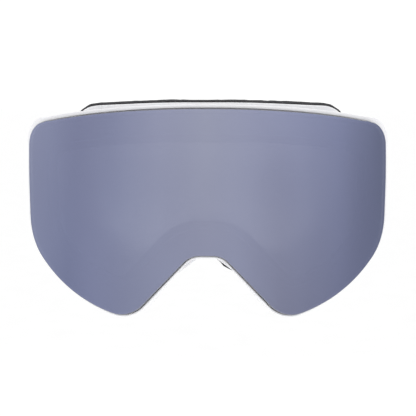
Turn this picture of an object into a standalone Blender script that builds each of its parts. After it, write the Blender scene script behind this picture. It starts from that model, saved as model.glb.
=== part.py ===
"""Ski goggles with a magnetic cylindrical double lens and a clip-on elastic strap.

Metres, +Z up. The lens faces -Y and the wearer's face rests on the foam, whose contact surface
passes through the origin: x = 0 is the middle plane, y = 0 the brow and z = 0 the middle of the
lens. Two curved sheets carry most of the shapes. The lens and everything that rests on it is
drawn flat, as (s, depth, z), and bent round the lens axis. The foam and its flange are drawn as
(x, back, z), and pushed back by the curve of the face.
"""

from math import acos, atan2, cos, pi, sin, sqrt, tan

import bmesh
import bpy
from mathutils import Matrix, Vector
from mathutils.geometry import convex_hull_2d

MM = 0.001
GAP = 0.3 * MM  # between touching pieces

# The lens: one cylinder with a vertical axis.
LENS_RADIUS = 120 * MM
LENS_FRONT_Y = -45 * MM
LENS_AXIS_Y = LENS_FRONT_Y + LENS_RADIUS

# The face: a rounder cylinder, also with a vertical axis.
FACE_RADIUS = 95 * MM

# Half outlines, in mm: across, up, corner radius, and the number of segments since the last
# counted corner. Corners with no count only shape the line. Each outline runs from the middle of
# the brow to the middle of the nose, past the temple, the cheek and the side of the nose.
LENS_CORNERS = (
    (0, 50.2, 0, 0),
    (44.8, 50.2, 520, 0),
    (99.0, 40.9, 12.4, 12),
    (99.4, 15.8, 260, 0),
    (97.9, -16.3, 30.5, 0),
    (71.1, -42.1, 102, 0),
    (38.0, -52.1, 16, 18),
    (7.6, -20.9, 10.5, 6),
    (0, -20.9, 0, 2),
)
FOAM_CORNERS = (
    (0, 52.5, 0, 0),
    (22, 52.5, 500, 0),
    (68.4, 49.8, 14, 12),
    (75.5, 12, 120, 0),
    (70, -18, 45, 0),
    (36.4, -48.4, 14, 18),
    (1.9, -22.5, 5, 6),
    (0, -22.5, 0, 2),
)
EYE_CORNERS = (
    (0, 33, 0, 0),
    (61, 33, 17, 12),
    (61, -2, 40, 0),
    (34, -27, 9, 18),
    (8, -6, 12, 6),
    (0, -6, 0, 2),
)
MIN_CORNER = 9 * MM  # tightest corner of the opening behind the lens
BEND_WEIGHT = 22 * MM  # how strongly corners attract an outline's points

# Depths behind the front of the lens, in a stack.
LENS_DEPTHS = (0.0, 1.4 * MM)
CARRIER_DEPTHS = (1.7 * MM, 3.9 * MM)
GASKET_DEPTHS = (1.7 * MM, 4.7 * MM)
INNER_LENS_DEPTHS = (5.0 * MM, 5.8 * MM)
SEAT_DEPTHS = (4.2 * MM, 7.2 * MM)
RIM_DEPTHS = (2.4 * MM, 15 * MM)
CUT_PITCH = 7 * MM  # width of the flat strips that a bent lens is made of

# Insets from the outline of the lens.
CARRIER_INSETS = (0.5 * MM, 12.8 * MM)
GASKET_INSETS = (13.2 * MM, 16.8 * MM)
INNER_LENS_INSET = 13.4 * MM
OPENING_INSET = 13.0 * MM
RIM_OVERHANG = 1.0 * MM
RIM_STRETCH = 0.03  # the rim stands further out at the temples, above RIM_RISE
RIM_RISE = (-40 * MM, -8 * MM)
RIM_WALL = 1.8 * MM

# Magnets, in pairs across the seat: eight in the lens and eight in the frame.
MAGNET = Vector((12, 1.1, 4)) * MM
MAGNET_INSET = 6.3 * MM
MAGNET_POINTS = (4, 10, 17, 26)  # points of the half outline that they sit beside
MAGNET_DEPTHS = {"lens": 2.7 * MM, "frame": 4.3 * MM}

# The soft skirt, its flange and the three layers of face foam, from front to back.
SKIRT_INSETS = (3.2 * MM, 5.2 * MM)
SKIRT_DEPTH = 11 * MM
SKIRT_FOOT_INSETS = (3.6 * MM, 5.6 * MM)
FLANGE_BACKS = (-20.2 * MM, -18.1 * MM)
FOAM_LAYERS = {
    "face_foam_base": (-17.8 * MM, -7.9 * MM),
    "face_foam_comfort": (-7.6 * MM, -2.1 * MM),
    "face_fleece": (-1.8 * MM, 0.0),
}
VENT = Vector((13, 5, 16)) * MM
TOP_VENTS = [x * MM for x in (-54, -36, -18, 0, 18, 36, 54)]
CHEEK_VENTS = [x * MM for x in (39, 55)]
VENT_FOAM = 1.8 * MM
VENT_FOAM_GAP = 0.9 * MM
TOP_FOAM_POINTS = 8  # the top vent foam reaches this many outline points each way
CHEEK_FOAM_POINTS = (24, 31)

# Outriggers, on vertical pins at the temples. Places are for +X, in plan.
STRAP_Z = 6 * MM
PIN = Vector((83, 8.5)) * MM
PIN_RADIUS = 1.25 * MM
BARREL_RADIUS = 3.0 * MM
BARREL_HALF = 12 * MM
LUG_HALF = 16 * MM
BRACKET_PAD = [Vector(p) * MM for p in ((87.4, 0.3), (88.4, 1.4), (84.9, 4.4), (83.9, 3.3))]
ARM_THICKNESS = 2.6 * MM
ARM_HALF_HEIGHTS = (12 * MM, 19 * MM, 23.5 * MM)
ARM_YS = (8.5 * MM, 19 * MM, 25 * MM)
SLOT_Y = 24.5 * MM

# The strap, one band of webbing for each side.
STRAP_WIDTH = 40 * MM
STRAP_THICKNESS = 1.5 * MM
BAR_Y = 33 * MM
BAR_HALF = 1.3 * MM
WRAP_RADIUS = 2.95 * MM  # of the webbing's middle, round a bar
RUN_X = 84.9 * MM
RUN_YS = (45 * MM, 104 * MM)  # the straight run beside the head
BACK_Y = 184 * MM
BACK_X = 22 * MM
CLIP_BAR_X = 15 * MM
FOLD_LENGTH = 22 * MM
RETURN_X = 82.95 * MM
GRIP_HEIGHTS = (-9 * MM, 9 * MM)
GRIP = Vector((0.6, 4)) * MM  # thickness and width of a silicone line

# The length adjuster, a three-bar slider.
SLIDER_Y = 66 * MM
SLIDER_HALF = 8 * MM
SLIDER_BAR = 3 * MM
SLIDER_XS = [x * MM for x in (82.05, 83.85, 85.95, 87.55)]
SLIDER_HALF_HEIGHT = 23.5 * MM
SLOT_HALF = STRAP_WIDTH / 2 + 0.5 * MM

# The clip at the back of the head, whose fingers lie between each other.
CLIP_YS = (179.6 * MM, 185.2 * MM)
CLIP_HALF = 6 * MM
CLIP_BODY_X = 8.4 * MM
CLIP_FINGERS = [z * MM for z in (8.6, 9.2, 15.0, 15.6, 23.0)]  # the fingers' edges, from the middle out

COLOURS = {
    "mirror_lens": ((0.27, 0.29, 0.42), 0.08, 0.9),
    "clear_lens": ((0.55, 0.56, 0.6), 0.1, 0.0),
    "white_shell": ((0.86, 0.86, 0.9), 0.35, 0.0),
    "black_plastic": ((0.03, 0.03, 0.035), 0.4, 0.0),
    "magnet": ((0.6, 0.6, 0.62), 0.3, 1.0),
    "dark_foam": ((0.04, 0.04, 0.045), 0.95, 0.0),
    "fleece": ((0.06, 0.06, 0.07), 1.0, 0.0),
    "webbing": ((0.05, 0.05, 0.06), 0.9, 0.0),
    "silicone": ((0.45, 0.46, 0.5), 0.5, 0.0),
    "steel": ((0.6, 0.6, 0.6), 0.3, 1.0),
}


# ---------------------------------------------------------------- outlines


def fillet(before, corner, after, radius, steps=16):
    """Points of the arc that rounds a corner."""
    to_before = (before - corner).normalized()
    to_after = (after - corner).normalized()
    half = acos(max(-1.0, min(1.0, to_before.dot(to_after)))) / 2
    centre = corner + (to_before + to_after).normalized() * (radius / sin(half))
    first = corner + to_before * (radius / tan(half)) - centre
    last = corner + to_after * (radius / tan(half)) - centre
    start = atan2(first.y, first.x)
    sweep = (atan2(last.y, last.x) - start + pi) % (2 * pi) - pi
    angles = [start + sweep * k / steps for k in range(steps + 1)]
    return [centre + Vector((cos(a), sin(a))) * radius for a in angles]


def spaced(points, count):
    """The line again as count segments, closer together where it bends."""
    measure = [0.0]
    for i in range(1, len(points)):
        step = points[i] - points[i - 1]
        bend = 0.0
        if i > 1 and step.length > 0:
            bend = abs(step.angle(points[i - 1] - points[i - 2], 0.0))
        measure.append(measure[-1] + step.length + BEND_WEIGHT * bend)
    line = []
    for k in range(count + 1):
        wanted = measure[-1] * k / count
        i = next(j for j in range(1, len(measure)) if measure[j] >= wanted - 1e-12)
        share = (wanted - measure[i - 1]) / (measure[i] - measure[i - 1])
        line.append(points[i - 1].lerp(points[i], share))
    return line


def fitted(corners):
    """The same corners, with arcs short enough to lie one after the other."""
    places = [place for place, radius, count in corners]
    sides = [b - a for a, b in zip(places, places[1:])]
    turns = [0.0] + [abs(a.angle_signed(b)) for a, b in zip(sides, sides[1:])] + [0.0]
    reaches = [corner[1] * tan(turn / 2) for corner, turn in zip(corners, turns)]
    pairs = zip(sides, reaches, reaches[1:])
    shares = [min(1.0, 0.97 * side.length / max(a + b, MM)) for side, a, b in pairs]
    shares = [shares[0]] + [min(a, b) for a, b in zip(shares, shares[1:])] + [shares[-1]]
    return [(place, radius * share, count) for (place, radius, count), share in zip(corners, shares)]


def outline(corners):
    """The closed outline of a half outline and its mirror image, clockwise from the brow."""
    corners = fitted(corners)
    half = []
    pending = [corners[0][0]]
    for i in range(1, len(corners) - 1):
        place, radius, count = corners[i]
        arc = fillet(corners[i - 1][0], place, corners[i + 1][0], radius)
        middle = len(arc) // 2
        if count:
            half += spaced(pending + arc[: middle + 1], count)[:-1]
            pending = arc[middle:]
        else:
            pending += arc
    half += spaced(pending + [corners[-1][0]], corners[-1][2])
    mirrored = [Vector((-p.x, p.y)) for p in half[1:-1]]
    return half + mirrored[::-1]


def in_metres(corners):
    return [(Vector((x, z)) * MM, radius * MM, count) for x, z, radius, count in corners]


def inward(direction):
    """The inward normal of a clockwise outline's direction."""
    return Vector((direction.y, -direction.x)).normalized()


def inset_corners(corners, distance):
    """The corners of the same outline, moved in by a distance, with no corner too tight."""
    moved = []
    for i, (place, radius, count) in enumerate(corners):
        if i in (0, len(corners) - 1):
            towards = -1 if i == 0 else 1
            moved.append((place + Vector((0, towards * distance)), radius, count))
            continue
        before = inward(place - corners[i - 1][0])
        after = inward(corners[i + 1][0] - place)
        shift = (before + after) * (distance / (1 + before.dot(after)))
        convex = (place - corners[i - 1][0]).cross(corners[i + 1][0] - place) < 0
        new_radius = max(radius - distance, MIN_CORNER) if convex else radius + distance
        moved.append((place + shift, new_radius, count))
    return moved


def inset(loop, distance):
    """A closed outline moved in by a small distance."""
    count = len(loop)
    return [
        loop[i] + inward(loop[(i + 1) % count] - loop[i - 1]) * distance
        for i in range(count)
    ]


def midway(first, second):
    return [a.lerp(b, 0.5) for a, b in zip(first, second)]


# ---------------------------------------------------------------- curved sheets


def bent(s, depth, z):
    """A point of the flat lens drawing, bent round the lens axis."""
    radius = LENS_RADIUS - depth
    angle = s / LENS_RADIUS
    return Vector((radius * sin(angle), LENS_AXIS_Y - radius * cos(angle), z))


def faced(x, back, z):
    """A point of the face drawing, pushed back by the curve of the face."""
    return Vector((x, back + FACE_RADIUS - sqrt(FACE_RADIUS**2 - x**2), z))


def bent_loop(loop, depth):
    return [bent(p.x, depth, p.y) for p in loop]


def faced_loop(loop, back):
    return [faced(p.x, back, p.y) for p in loop]


# ---------------------------------------------------------------- building blocks


def material(slot):
    """The material of one slot, made on first use."""
    if slot in bpy.data.materials:
        return bpy.data.materials[slot]
    colour, roughness, metallic = COLOURS[slot]
    made = bpy.data.materials.new(slot)
    made.use_nodes = True
    shader = made.node_tree.nodes["Principled BSDF"]
    shader.inputs["Base Color"].default_value = (*colour, 1)
    shader.inputs["Roughness"].default_value = roughness
    shader.inputs["Metallic"].default_value = metallic
    return made


def finished(name, bm, slot, parent=None):
    """The object of a bmesh, with its faces pointing out."""
    bmesh.ops.recalc_face_normals(bm, faces=bm.faces)
    if bm.calc_volume(signed=True) < 0:
        bmesh.ops.reverse_faces(bm, faces=bm.faces)
    mesh = bpy.data.meshes.new(name)
    bm.to_mesh(mesh)
    bm.free()
    obj = bpy.data.objects.new(name, mesh)
    bpy.context.scene.collection.objects.link(obj)
    if slot:
        mesh.materials.append(material(slot))
    else:
        obj.hide_render = True
        obj.display_type = "WIRE"
    if parent:
        obj.parent = parent
        obj.matrix_parent_inverse = Matrix.Translation(-parent.location)
    return obj


def pivot(name, place):
    """An empty on a joint's axis, for the pieces that move with it."""
    empty = bpy.data.objects.new(name, None)
    empty.location = place
    bpy.context.scene.collection.objects.link(empty)
    return empty


def skin(bm, loops, closed):
    """Quads from each loop to the next, and from the last back to the first."""
    rows = [[bm.verts.new(p) for p in loop] for loop in loops]
    last = len(rows[0]) if closed else len(rows[0]) - 1
    for k, row in enumerate(rows):
        following = rows[(k + 1) % len(rows)]
        for i in range(last):
            j = (i + 1) % len(row)
            bm.faces.new((row[i], row[j], following[j], following[i]))
    if not closed:
        bm.faces.new([row[0] for row in rows])
        bm.faces.new([row[-1] for row in rows])


def ring(name, loops, slot, parent=None):
    """A closed ring whose cross section runs through the given loops."""
    bm = bmesh.new()
    skin(bm, loops, closed=True)
    return finished(name, bm, slot, parent)


def strip(name, lines, slot, parent=None):
    """A strip with flat ends, whose cross section runs through the given lines."""
    bm = bmesh.new()
    skin(bm, lines, closed=False)
    return finished(name, bm, slot, parent)


def prism(name, points, low, high, slot=None, parent=None):
    """A plan outline, raised from one height to another."""
    bm = bmesh.new()
    face = bm.faces.new([bm.verts.new((p[0], p[1], low)) for p in points])
    raised = bmesh.ops.extrude_face_region(bm, geom=[face])["geom"]
    tops = [v for v in raised if isinstance(v, bmesh.types.BMVert)]
    bmesh.ops.translate(bm, verts=tops, vec=(0, 0, high - low))
    return finished(name, bm, slot, parent)


def block(name, low, high, slot=None, parent=None):
    """A box between two corners."""
    points = ((low[0], low[1]), (high[0], low[1]), (high[0], high[1]), (low[0], high[1]))
    return prism(name, points, low[2], high[2], slot, parent)


def circle(centre, radius, count=16):
    turns = [2 * pi * (k + 0.5) / count for k in range(count)]
    return [(centre[0] + radius * cos(a), centre[1] + radius * sin(a)) for a in turns]


def combine(obj, other, operation="DIFFERENCE"):
    """A Boolean of the object with a helper, which stays out of the model."""
    modifier = obj.modifiers.new(other.name, "BOOLEAN")
    modifier.operation = operation
    modifier.object = other
    return obj


def bent_block(name, centre, direction, size, depth, slot=None, parent=None):
    """A box drawn flat on the lens, along a direction, from a depth, then bent with it."""
    across = inward(direction)
    along = direction.normalized()
    bm = bmesh.new()
    rows = []
    for d in (depth, depth + size.y):
        corners = []
        for u, v in ((-1, -1), (1, -1), (1, 1), (-1, 1)):
            p = centre + along * (u * size.x / 2) + across * (v * size.z / 2)
            corners.append(bm.verts.new(bent(p.x, d, p.y)))
        rows.append(corners)
    bm.faces.new(rows[0])
    bm.faces.new(rows[1][::-1])
    for i in range(4):
        j = (i + 1) % 4
        bm.faces.new((rows[0][i], rows[1][i], rows[1][j], rows[0][j]))
    return finished(name, bm, slot, parent)


def sheet(name, loop, depths, slot, parent):
    """A full lens: the outline as a flat plate, cut into upright strips, and bent."""
    bm = bmesh.new()
    face = bm.faces.new([bm.verts.new((p.x, depths[0], p.y)) for p in loop])
    raised = bmesh.ops.extrude_face_region(bm, geom=[face])["geom"]
    backs = [v for v in raised if isinstance(v, bmesh.types.BMVert)]
    bmesh.ops.translate(bm, verts=backs, vec=(0, depths[1] - depths[0], 0))
    reach = max(p.x for p in loop)
    count = int(reach / CUT_PITCH)
    for k in range(-count, count + 1):
        geometry = bm.verts[:] + bm.edges[:] + bm.faces[:]
        bmesh.ops.bisect_plane(bm, geom=geometry, plane_co=(k * CUT_PITCH, 0, 0), plane_no=(1, 0, 0))
    bmesh.ops.triangulate(bm, faces=bm.faces)
    for v in bm.verts:
        v.co = bent(v.co.x, v.co.y, v.co.z)
    return finished(name, bm, slot, parent)


# ---------------------------------------------------------------- the lens


def magnets(host, loop, kind, pocket_end, parent):
    """Eight magnets beside the outline, each in a pocket of its host."""
    count = len(loop)
    places = list(MAGNET_POINTS) + [count - i for i in MAGNET_POINTS]
    room = Vector((2 * GAP, 0, 2 * GAP))
    for number, i in enumerate(places, 1):
        direction = loop[(i + 1) % count] - loop[i - 1]
        centre = loop[i] + inward(direction) * MAGNET_INSET
        depth = MAGNET_DEPTHS[kind]
        pocket_start = depth - GAP if kind == "lens" else depth - 2 * MM
        size = MAGNET + room
        size.y = pocket_end - pocket_start
        pocket = bent_block(f"{kind}_pocket_{number}", centre, direction, size, pocket_start)
        combine(host, pocket)
        name = f"{kind}_magnet_{number}"
        bent_block(name, centre, direction, MAGNET, depth, "magnet", parent)


def lens_group(corners):
    """The outer lens, its carrier with magnets, the foam spacer and the inner lens."""
    body = pivot("lens_axis", (0, LENS_FRONT_Y, 0))
    edge = outline(corners)
    sheet("outer_lens", edge, LENS_DEPTHS, "mirror_lens", body)

    outer = inset(edge, CARRIER_INSETS[0])
    inner = outline(inset_corners(corners, CARRIER_INSETS[1]))
    middle = midway(outer, inner)
    front, back = CARRIER_DEPTHS
    loops = [bent_loop(loop, front) for loop in (outer, middle, inner)]
    loops += [bent_loop(loop, back) for loop in (inner, middle, outer)]
    carrier = ring("lens_carrier", loops, "black_plastic", body)
    magnets(carrier, edge, "lens", back + 1 * MM, body)

    outer, inner = (outline(inset_corners(corners, d)) for d in GASKET_INSETS)
    front, back = GASKET_DEPTHS
    section = ((outer, front), (inner, front), (inner, back), (outer, back))
    loops = [bent_loop(loop, depth) for loop, depth in section]
    ring("lens_spacer_foam", loops, "dark_foam", body)

    pane = outline(inset_corners(corners, INNER_LENS_INSET))
    sheet("inner_lens", pane, INNER_LENS_DEPTHS, "clear_lens", body)


# ---------------------------------------------------------------- the frame


def rim_outline(edge):
    """The outer edge of the frame, which stands out further at the temples."""
    low, high = RIM_RISE
    moved = []
    for p in inset(edge, -RIM_OVERHANG):
        share = max(0.0, min(1.0, (p.y - low) / (high - low)))
        moved.append(Vector((p.x * (1 + RIM_STRETCH * share), p.y)))
    return moved


def front_frame(corners):
    """The hard front ring: a seat for the lens, a low lip round it and the outer wall."""
    edge = outline(corners)
    opening = outline(inset_corners(corners, OPENING_INSET))
    lip = inset(edge, -GAP)
    rim = rim_outline(edge)
    wall = inset(rim, RIM_WALL)
    seat, underside = SEAT_DEPTHS
    top, rear = RIM_DEPTHS
    loops = [
        bent_loop(opening, seat),
        bent_loop(midway(opening, lip), seat),
        bent_loop(lip, seat),
        bent_loop(lip, top),
        bent_loop(rim, top),
        bent_loop(rim, rear),
        bent_loop(wall, rear),
        bent_loop(wall, underside),
        bent_loop(midway(opening, wall), underside),
        bent_loop(opening, underside),
    ]
    frame = ring("front_frame", loops, "white_shell")
    magnets(frame, edge, "frame", MAGNET_DEPTHS["frame"] + MAGNET.y + GAP, None)


def skirt_lines(lens_edge, foam_edge, offset=0.0, thickness=None):
    """The outer and inner lines of the skirt's wall, front and foot, or of a layer inside it."""
    wall = SKIRT_INSETS[1] - SKIRT_INSETS[0] if thickness is None else thickness
    near, foot = SKIRT_INSETS[0] + offset, SKIRT_FOOT_INSETS[0] + offset
    return (
        bent_loop(inset(lens_edge, near), SKIRT_DEPTH),
        bent_loop(inset(lens_edge, near), RIM_DEPTHS[1] + 0.5 * MM),
        faced_loop(inset(foam_edge, foot), FLANGE_BACKS[0]),
        faced_loop(inset(foam_edge, foot + wall), FLANGE_BACKS[0]),
        bent_loop(inset(lens_edge, near + wall), RIM_DEPTHS[1] + 0.5 * MM),
        bent_loop(inset(lens_edge, near + wall), SKIRT_DEPTH),
    )


def vent_place(line_front, line_foot, x):
    """The middle of the skirt's wall at x, on the side of the given lines, and its slope in plan."""
    pairs = [(a + b) / 2 for a, b in zip(line_front, line_foot)]
    i = min(range(len(pairs)), key=lambda k: abs(pairs[k].x - x))
    along = pairs[(i + 1) % len(pairs)] - pairs[i - 1]
    return pairs[i], atan2(along.y, along.x)


def vent_cutter(name, place, slope):
    """A rounded slot, cut straight up through the wall."""
    half = VENT / 2
    turn = Matrix.Rotation(slope, 2)
    points = []
    for side in (1, -1):
        for k in range(5):
            a = pi / 2 - pi * k / 4
            p = Vector((half.x - half.y + half.y * cos(a), half.y * sin(a))) * side
            points.append(turn @ p + place.xy)
    return prism(name, points, place.z - half.z, place.z + half.z)


def face_skirt(lens_corners, foam_corners, eye_corners):
    """The soft skirt from the front ring to the face, with its flange, vents and vent foam."""
    lens_edge, foam_edge, eye_edge = (outline(c) for c in (lens_corners, foam_corners, eye_corners))
    lines = skirt_lines(lens_edge, foam_edge)
    front, back = FLANGE_BACKS
    flange_middle = midway(inset(foam_edge, SKIRT_FOOT_INSETS[1]), eye_edge)
    loops = [
        *lines[:3],
        faced_loop(foam_edge, front),
        faced_loop(foam_edge, back),
        faced_loop(midway(foam_edge, eye_edge), back),
        faced_loop(eye_edge, back),
        faced_loop(eye_edge, front),
        faced_loop(flange_middle, front),
        *lines[3:],
    ]
    skirt = ring("face_skirt", loops, "white_shell")

    upper = len(lens_edge) // 4
    top = slice(0, upper)
    for number, x in enumerate(TOP_VENTS, 1):
        front_half = lines[1][top] + lines[1][-upper:]
        foot_half = lines[2][top] + lines[2][-upper:]
        place, slope = vent_place(front_half, foot_half, x)
        combine(skirt, vent_cutter(f"top_vent_{number}", place, slope))
    low = slice(*CHEEK_FOAM_POINTS)
    for number, x in enumerate(CHEEK_VENTS, 1):
        place, slope = vent_place(lines[1][low], lines[2][low], x)
        combine(skirt, vent_cutter(f"right_cheek_vent_{number}", place, slope))
        mirrored = Vector((-place.x, place.y, place.z))
        combine(skirt, vent_cutter(f"left_cheek_vent_{number}", mirrored, -slope))

    foam = skirt_lines(lens_edge, foam_edge, SKIRT_INSETS[1] - SKIRT_INSETS[0] + VENT_FOAM_GAP, VENT_FOAM)
    foam = [foam[1], [a.lerp(b, 0.9) for a, b in zip(foam[1], foam[2])]] + [
        [a.lerp(b, 0.9) for a, b in zip(foam[4], foam[3])],
        foam[4],
    ]
    count = len(lens_edge)
    around = [i % count for i in range(-TOP_FOAM_POINTS, TOP_FOAM_POINTS + 1)]
    strip("vent_foam_top", [[line[i] for i in around] for line in foam], "dark_foam")
    first, last = CHEEK_FOAM_POINTS
    near = range(first, last + 1)
    far = [count - i for i in near]
    strip("vent_foam_cheek_left", [[line[i] for i in far] for line in foam], "dark_foam")
    strip("vent_foam_cheek_right", [[line[i] for i in near] for line in foam], "dark_foam")


def face_foam(foam_corners, eye_corners):
    """Three layers that follow the face: firm foam, soft foam and fleece."""
    outer, inner = outline(foam_corners), outline(eye_corners)
    middle = midway(outer, inner)
    for name, (front, back) in FOAM_LAYERS.items():
        loops = [faced_loop(loop, front) for loop in (outer, middle, inner)]
        loops += [faced_loop(loop, back) for loop in (inner, middle, outer)]
        ring(name, loops, "fleece" if name == "face_fleece" else "dark_foam")


# ---------------------------------------------------------------- the sides
# Everything from here on is drawn for +X, and side is -1 for the piece on the other side.


def sided(points, side):
    return [(p[0] * side, p[1]) for p in points]


def side_block(name, xs, ys, zs, side, slot=None, parent=None):
    """A box given by its ranges on the +X side."""
    ends = sorted(x * side for x in xs)
    return block(name, (ends[0], ys[0], zs[0]), (ends[1], ys[1], zs[1]), slot, parent)


def temple_bracket(side, word):
    """A pad on the frame's wall with two lugs, and the pin through them."""
    low, high = STRAP_Z - LUG_HALF, STRAP_Z + LUG_HALF
    plan = BRACKET_PAD + [Vector(p) for p in circle(PIN, BARREL_RADIUS)]
    hull = [plan[i] for i in convex_hull_2d(plan)]
    bracket = prism(f"temple_bracket_{word}", sided(hull, side), low, high, "black_plastic")
    gap = BARREL_HALF + GAP
    limits = (STRAP_Z - gap, STRAP_Z + gap)
    middle = (PIN.y - BARREL_RADIUS - GAP, PIN.y + 2 * BARREL_RADIUS)
    room = side_block(f"bracket_room_{word}", (70 * MM, 95 * MM), middle, limits, side)
    combine(bracket, room)
    bore = circle((PIN.x * side, PIN.y), PIN_RADIUS + GAP)
    combine(bracket, prism(f"bracket_bore_{word}", bore, low - MM, high + MM))
    pin = circle((PIN.x * side, PIN.y), PIN_RADIUS)
    prism(f"outrigger_pin_{word}", pin, low, high, "steel")


def outrigger(side, word, body):
    """A flat arm from the pin's barrel to the bar that the strap wraps."""
    half_x = ARM_THICKNESS / 2
    heights = ARM_HALF_HEIGHTS
    end_y = BAR_Y + BAR_HALF
    upper = [(ARM_YS[0], heights[0]), (ARM_YS[0] + 4 * MM, heights[0]), (ARM_YS[1], heights[1])]
    upper += [(ARM_YS[2], heights[2]), (end_y, heights[2])]
    profile = upper + [(y, -h) for y, h in upper[::-1]]
    bm = bmesh.new()
    face = bm.faces.new([bm.verts.new((PIN.x * side - half_x, y, STRAP_Z + h)) for y, h in profile])
    raised = bmesh.ops.extrude_face_region(bm, geom=[face])["geom"]
    moved = [v for v in raised if isinstance(v, bmesh.types.BMVert)]
    bmesh.ops.translate(bm, verts=moved, vec=(ARM_THICKNESS, 0, 0))
    arm = finished(f"outrigger_{word}", bm, "black_plastic", body)
    limits = (STRAP_Z - BARREL_HALF, STRAP_Z + BARREL_HALF)
    barrel = prism(f"barrel_{word}", circle((PIN.x * side, PIN.y), BARREL_RADIUS), *limits)
    combine(arm, barrel, "UNION")
    centre = (PIN.x * side, PIN.y)
    bore = prism(f"barrel_bore_{word}", circle(centre, PIN_RADIUS + GAP), limits[0] - MM, limits[1] + MM)
    combine(arm, bore)
    slot_z = (STRAP_Z - SLOT_HALF, STRAP_Z + SLOT_HALF)
    slot_y = (SLOT_Y, BAR_Y - BAR_HALF)
    slot = side_block(f"outrigger_slot_{word}", (75 * MM, 95 * MM), slot_y, slot_z, side)
    combine(arm, slot)


# ---------------------------------------------------------------- the strap


def arc(centre, radius, start, end, count):
    """Points on a circle, between two angles in degrees."""
    turns = [(start + (end - start) * k / count) * pi / 180 for k in range(count + 1)]
    return [Vector((centre[0] + radius * cos(a), centre[1] + radius * sin(a))) for a in turns]


def head_curve(count=14):
    """The strap's middle from the end of the straight run to the flat back of the head."""
    across, deep = RUN_X - BACK_X, BACK_Y - RUN_YS[1]
    turns = [pi / 2 * k / count for k in range(count + 1)]
    return [Vector((BACK_X + across * cos(a), RUN_YS[1] + deep * sin(a))) for a in turns]


def beside(line, distance):
    """A line beside another, on its left when the distance is positive."""
    moved = []
    for i, p in enumerate(line):
        along = line[min(i + 1, len(line) - 1)] - line[max(i - 1, 0)]
        moved.append(p + Vector((-along.y, along.x)).normalized() * distance)
    return moved


def cut_to(line, length):
    """The first stretch of a line, of the given length."""
    kept = [line[0]]
    for a, b in zip(line, line[1:]):
        step = (b - a).length
        if step >= length:
            return kept + [a.lerp(b, length / step)]
        kept.append(b)
        length -= step
    return kept


def strap_line():
    """The middle of the webbing: round the outrigger's bar, past the head, and round the clip's bar."""
    front_wrap = arc((PIN.x, BAR_Y), WRAP_RADIUS, 180, 360, 8)
    stub = [Vector((PIN.x - WRAP_RADIUS, BAR_Y + 3 * MM))]
    run = [Vector((RUN_X, y)) for y in (RUN_YS[0], RUN_YS[1])]
    back = head_curve()
    clip_bar = Vector((CLIP_BAR_X, BACK_Y - WRAP_RADIUS))
    back_wrap = arc(clip_bar, WRAP_RADIUS, 90, 270, 8)
    fold_start = [Vector((CLIP_BAR_X + 7.6 * MM, BACK_Y - 1.25 * STRAP_THICKNESS - GAP))]
    fold = beside(back[::-1], STRAP_THICKNESS + GAP)
    fold = cut_to([p for p in fold if p.x > CLIP_BAR_X + 9 * MM], FOLD_LENGTH)
    return stub + front_wrap + run[:1] + back + back_wrap + fold_start + fold


def band(name, line, side, slot, parent, width=STRAP_WIDTH, middle=STRAP_Z, thickness=STRAP_THICKNESS):
    """Webbing: a line in plan with a thickness, standing on edge."""
    line = [Vector((p.x * side, p.y)) for p in line]
    left, right = beside(line, thickness / 2), beside(line, -thickness / 2)
    low, high = middle - width / 2, middle + width / 2
    corners = ((left, low), (right, low), (right, high), (left, high))
    lines = [[(p.x, p.y, z) for p in edge] for edge, z in corners]
    return strip(name, lines, slot, parent)


def slider(side, word, body):
    """Two outer bars and one inner bar, joined past the edges of the webbing."""
    low, high = STRAP_Z - SLIDER_HALF_HEIGHT, STRAP_Z + SLIDER_HALF_HEIGHT
    inner, passage, outer, face = SLIDER_XS
    ys = (SLIDER_Y - SLIDER_HALF, SLIDER_Y + SLIDER_HALF)
    made = side_block(f"strap_slider_{word}", (inner, face), ys, (low, high), side, "black_plastic", body)
    open_z = (STRAP_Z - SLOT_HALF, STRAP_Z + SLOT_HALF)
    beyond = (ys[0] - MM, ys[1] + MM)
    outer_ys = (ys[0] + SLIDER_BAR, ys[1] - SLIDER_BAR)
    half_bar = SLIDER_BAR / 2
    cuts = {
        "passage": ((passage, outer), beyond),
        "window": ((passage, face + MM), outer_ys),
        "front_inner": ((inner - MM, outer), (beyond[0], SLIDER_Y - half_bar)),
        "back_inner": ((inner - MM, outer), (SLIDER_Y + half_bar, beyond[1])),
    }
    for cut, (xs, cut_ys) in cuts.items():
        combine(made, side_block(f"slider_{cut}_{word}", xs, cut_ys, open_z, side))


def clip_half(name, side, fingers, body):
    """One half of the clip: the bar that the strap wraps, a cross piece, and its fingers."""
    low, high = STRAP_Z - CLIP_FINGERS[-1], STRAP_Z + CLIP_FINGERS[-1]
    bar_y = BACK_Y - WRAP_RADIUS
    bar_ys = (bar_y - BAR_HALF, bar_y + BAR_HALF)
    end = CLIP_BAR_X + BAR_HALF
    body_xs = (CLIP_HALF + GAP, CLIP_BODY_X)
    made = side_block(name, body_xs, CLIP_YS, (low, high), side, "black_plastic", body)
    wings = side_block(f"{name}_wings", (CLIP_BODY_X - MM, end), bar_ys, (low, high), side)
    slot_z = (STRAP_Z - SLOT_HALF, STRAP_Z + SLOT_HALF)
    slot_xs = (CLIP_BODY_X, CLIP_BAR_X - BAR_HALF)
    combine(wings, side_block(f"{name}_slot", slot_xs, (bar_ys[0] - MM, bar_ys[1] + MM), slot_z, side))
    combine(made, wings, "UNION")
    for number, (start, stop) in enumerate(fingers):
        zs = (STRAP_Z + start, STRAP_Z + stop)
        finger = side_block(f"{name}_finger_{number}", (-CLIP_HALF, CLIP_HALF + MM), CLIP_YS, zs, side)
        combine(made, finger, "UNION")


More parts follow.
